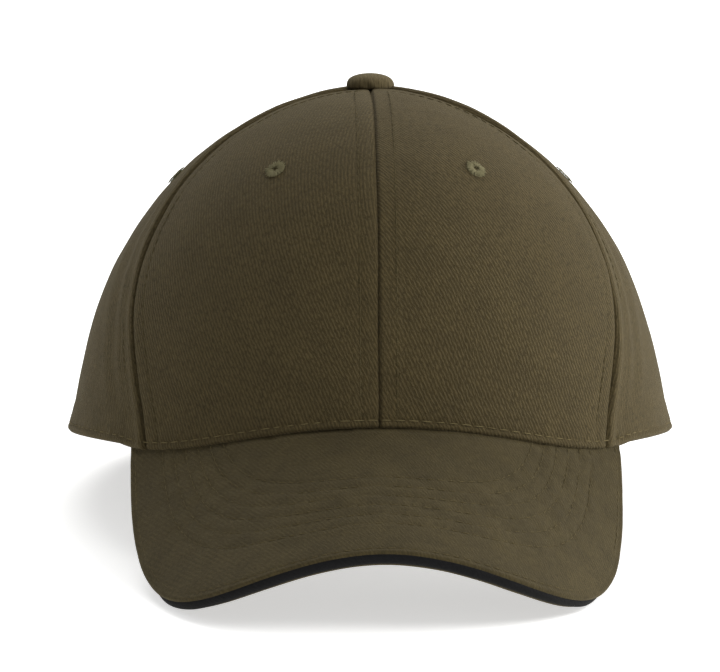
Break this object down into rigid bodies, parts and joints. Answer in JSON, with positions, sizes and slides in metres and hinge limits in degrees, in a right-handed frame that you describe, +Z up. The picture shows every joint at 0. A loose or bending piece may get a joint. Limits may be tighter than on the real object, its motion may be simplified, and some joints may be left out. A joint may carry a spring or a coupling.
{
  "type": "baseball cap",
  "caption": "Structured panelled cap with a stiff pre-curved sandwich visor, covered top button, sewn eyelets and an adjustable strap at the back.",
  "frame": {"origin": "middle of the cap's box on the surface it stands on", "axes": "the visor points along -Y, +X is the wearer's left, +Z is up with the cap standing on its visor and its back hem"},
  "size_m": [0.1878, 0.2492, 0.1303],
  "materials": {
    "twill": "brushed heavy cotton twill",
    "black_twill": "black cotton twill",
    "seam_tape": "cotton bias tape",
    "eyelet_thread": "embroidery thread",
    "buckram": "open stiff mesh",
    "foam": "needled pad",
    "sweatband": "cotton twill",
    "label": "woven satin tape",
    "visor_board": "moulded polyethylene",
    "zinc_plate": "antique nickel plate"
  },
  "bodies": {
    "cap": {"front_panel_left": "twill", "side_panel_left": "twill", "rear_panel_left": "twill", "front_panel_right": "twill", "side_panel_right": "twill", "rear_panel_right": "twill", "buckram_left": "buckram", "buckram_right": "buckram", "seam_tape_front_centre": "seam_tape", "seam_tape_front_left": "seam_tape", "seam_tape_front_right": "seam_tape", "seam_tape_rear_left": "seam_tape", "seam_tape_rear_right": "seam_tape", "seam_tape_rear_centre": "seam_tape", "eyelet_front_left": "eyelet_thread", "eyelet_side_left": "eyelet_thread", "eyelet_rear_left": "eyelet_thread", "eyelet_front_right": "eyelet_thread", "eyelet_side_right": "eyelet_thread", "eyelet_rear_right": "eyelet_thread", "button_cover": "twill", "button_shell": "zinc_plate", "button_washer": "zinc_plate", "visor_top_cover": "twill", "visor_board": "visor_board", "visor_bottom_cover": "twill", "visor_sandwich_trim": "black_twill", "sweatband_padding": "foam", "sweatband": "sweatband", "care_label": "label", "rear_opening_binding": "twill", "buckle_frame": "zinc_plate", "buckle_pin": "zinc_plate", "buckle_tab": "twill"},
    "strap": {"strap": "twill"},
    "buckle_lever": {"buckle_lever": "zinc_plate"}
  },
  "joints": [
    {"name": "strap_adjust", "type": "hinge", "parent": "cap", "child": "strap", "pos_m": [0, 0.03112, 0.0186], "axis": [0, 0.1275, 0.9918], "range_deg": [-8, 8]},
    {"name": "buckle_lever_hinge", "type": "hinge", "parent": "cap", "child": "buckle_lever", "pos_m": [0.01873, 0.12075, 0.01313], "axis": [0, 0.1275, 0.9918], "range_deg": [0, 110]}
  ]
}
